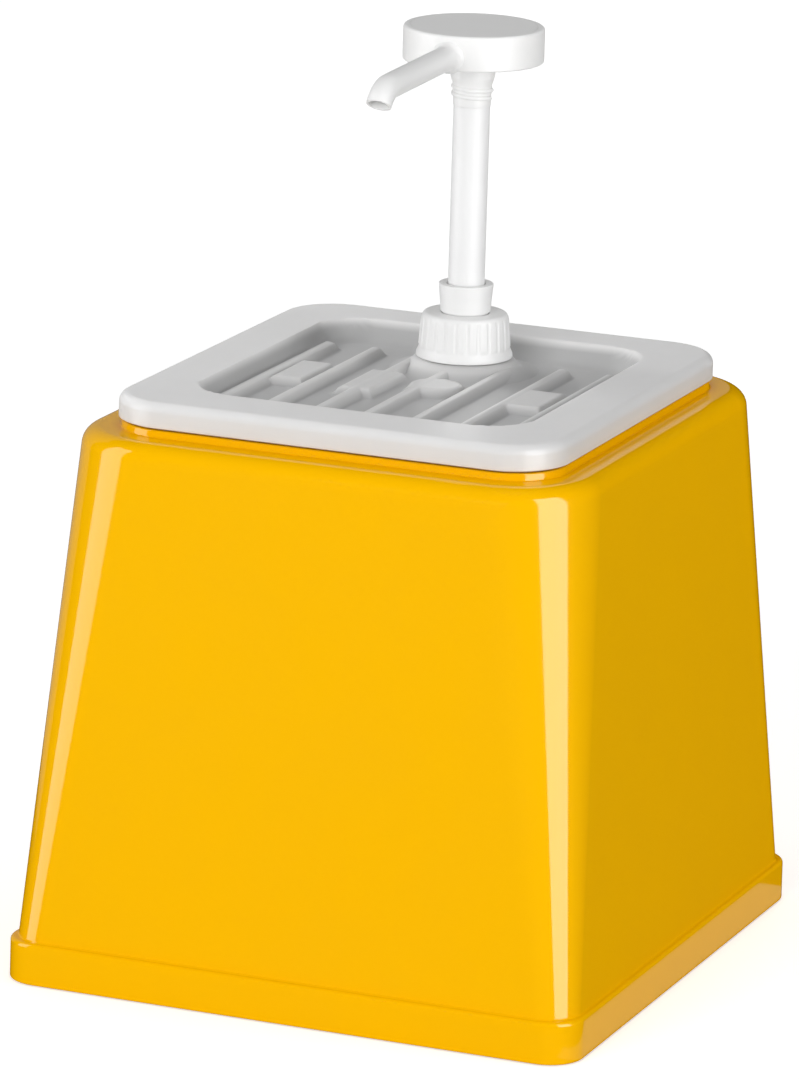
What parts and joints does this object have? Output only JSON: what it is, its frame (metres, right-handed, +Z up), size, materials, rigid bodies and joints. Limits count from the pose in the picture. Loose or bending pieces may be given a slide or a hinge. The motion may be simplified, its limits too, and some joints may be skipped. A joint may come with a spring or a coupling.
{
  "type": "condiment pump dispenser",
  "caption": "Tapered countertop casing with a drop-in food container, a ridged lid and a hand pump whose round head and down-turned spout dispense sauce.",
  "frame": {"origin": "middle of the casing's footprint, on the surface it stands on", "axes": "+Z up, the spout points to -Y, and X runs across the front face"},
  "size_m": [0.2178, 0.233, 0.3304],
  "materials": {
    "casing_plastic": "polished moulded ABS",
    "container_plastic": "translucent natural polypropylene",
    "lid_plastic": "translucent natural polypropylene, satin",
    "pump_plastic": "white polypropylene, semi-gloss",
    "stem_plastic": "white polypropylene tube, semi-gloss",
    "barrel_plastic": "natural polypropylene",
    "tube_plastic": "natural polyethylene tube",
    "seal_rubber": "food-grade elastomer",
    "spring_steel": "drawn stainless wire",
    "ball_steel": "polished stainless"
  },
  "bodies": {
    "casing": {"casing_shell": "casing_plastic"},
    "container": {"food_container": "container_plastic"},
    "lid": {"lid": "lid_plastic"},
    "pump_housing": {"pump_barrel": "barrel_plastic", "neck_gasket": "seal_rubber", "chaplet": "pump_plastic", "stem_wiper": "seal_rubber", "foot_valve_body": "barrel_plastic", "foot_ball_cage": "barrel_plastic", "dip_tube": "tube_plastic", "return_spring": "spring_steel"},
    "cap": {"screw_cap": "pump_plastic"},
    "plunger": {"piston_body": "barrel_plastic", "piston_seal": "seal_rubber", "piston_retainer": "barrel_plastic", "discharge_ball_cage": "barrel_plastic"},
    "head": {"stem": "stem_plastic", "pump_head": "pump_plastic", "head_cover": "pump_plastic"},
    "foot_ball": {"foot_ball": "ball_steel"},
    "discharge_ball": {"discharge_ball": "ball_steel"}
  },
  "joints": [
    {"name": "container_lift", "type": "slide", "parent": "casing", "child": "container", "axis": [0, 0, 1], "range_m": [0, 0.16]},
    {"name": "lid_lift", "type": "slide", "parent": "container", "child": "lid", "axis": [0, 0, 1], "range_m": [0, 0.16]},
    {"name": "pump_rise", "type": "slide", "parent": "lid", "child": "pump_housing", "axis": [0, 0, 1], "range_m": [0, 0.00599]},
    {"name": "cap_unscrew", "type": "hinge", "parent": "pump_housing", "child": "cap", "pos_m": [0, 0.04155, 0.217], "axis": [0, 0, 1], "range_deg": [0, 540]},
    {"name": "pump_stroke", "type": "slide", "parent": "pump_housing", "child": "plunger", "axis": [0, 0, -1], "range_m": [0, 0.064], "stiffness_N_per_m": 250, "springref_m": -0.03, "deforming": ["return_spring"]},
    {"name": "head_swivel", "type": "hinge", "parent": "plunger", "child": "head", "pos_m": [0, 0.04155, 0.26], "axis": [0, 0, 1], "continuous": true},
    {"name": "foot_valve_lift", "type": "slide", "parent": "pump_housing", "child": "foot_ball", "axis": [0, 0, 1], "range_m": [0, 0.003]},
    {"name": "discharge_valve_lift", "type": "slide", "parent": "plunger", "child": "discharge_ball", "axis": [0, 0, 1], "range_m": [0, 0.0025]}
  ],
  "couplings": [
    {"joint": "cap_unscrew", "follows": "pump_rise", "rad_per_m": 1570.8}
  ]
}
